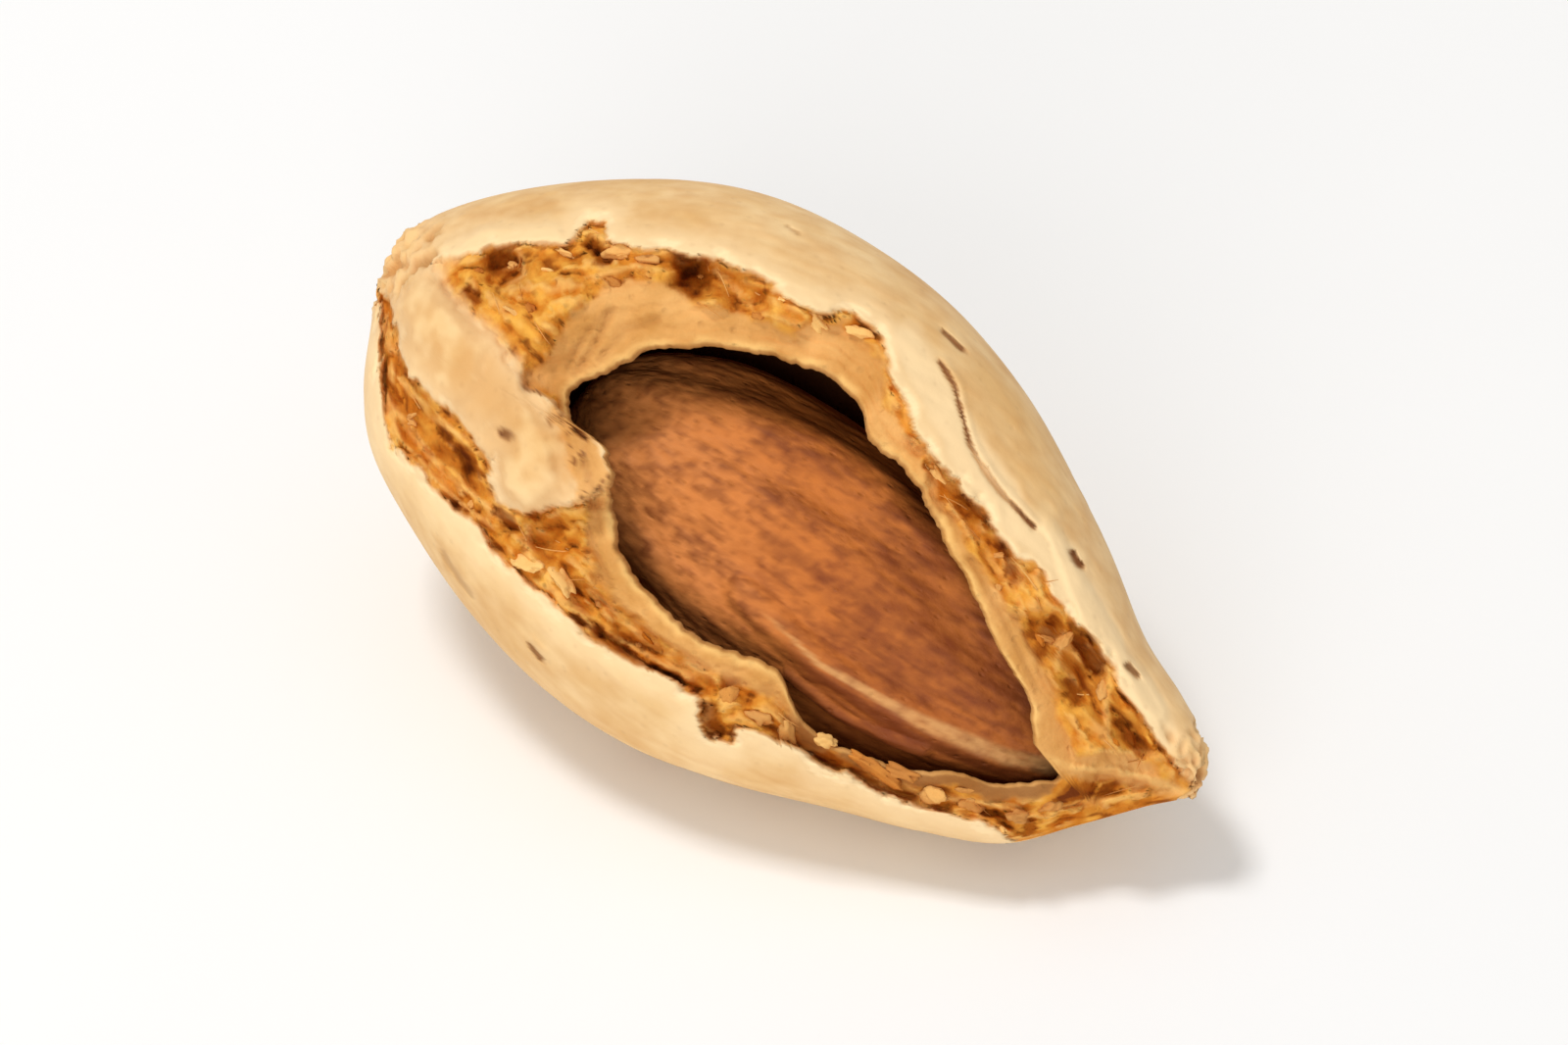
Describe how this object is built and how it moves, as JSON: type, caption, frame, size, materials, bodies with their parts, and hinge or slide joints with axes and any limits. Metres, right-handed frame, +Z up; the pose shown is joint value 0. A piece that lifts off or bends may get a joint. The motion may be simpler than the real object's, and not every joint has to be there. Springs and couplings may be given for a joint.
{
  "type": "almond",
  "caption": "Almond lying in its broken shell: a pale, pitted shell with a torn rim round an open hole, and the brown wrinkled kernel resting inside.",
  "frame": {"origin": "middle of the object's box at the level of the flat spot that it rests on", "axes": "+X along the almond towards its pointed end, +Z up, with the broken face looking to -Y, +X and up"},
  "size_m": [0.0338, 0.0179, 0.0171],
  "materials": {
    "shell": "matt cream skin with a rough, fibrous orange-brown layer where it is torn off",
    "kernel": "dry, finely wrinkled reddish brown skin"
  },
  "bodies": {
    "root": {"shell": "shell", "kernel": "kernel"}
  },
  "joints": []
}
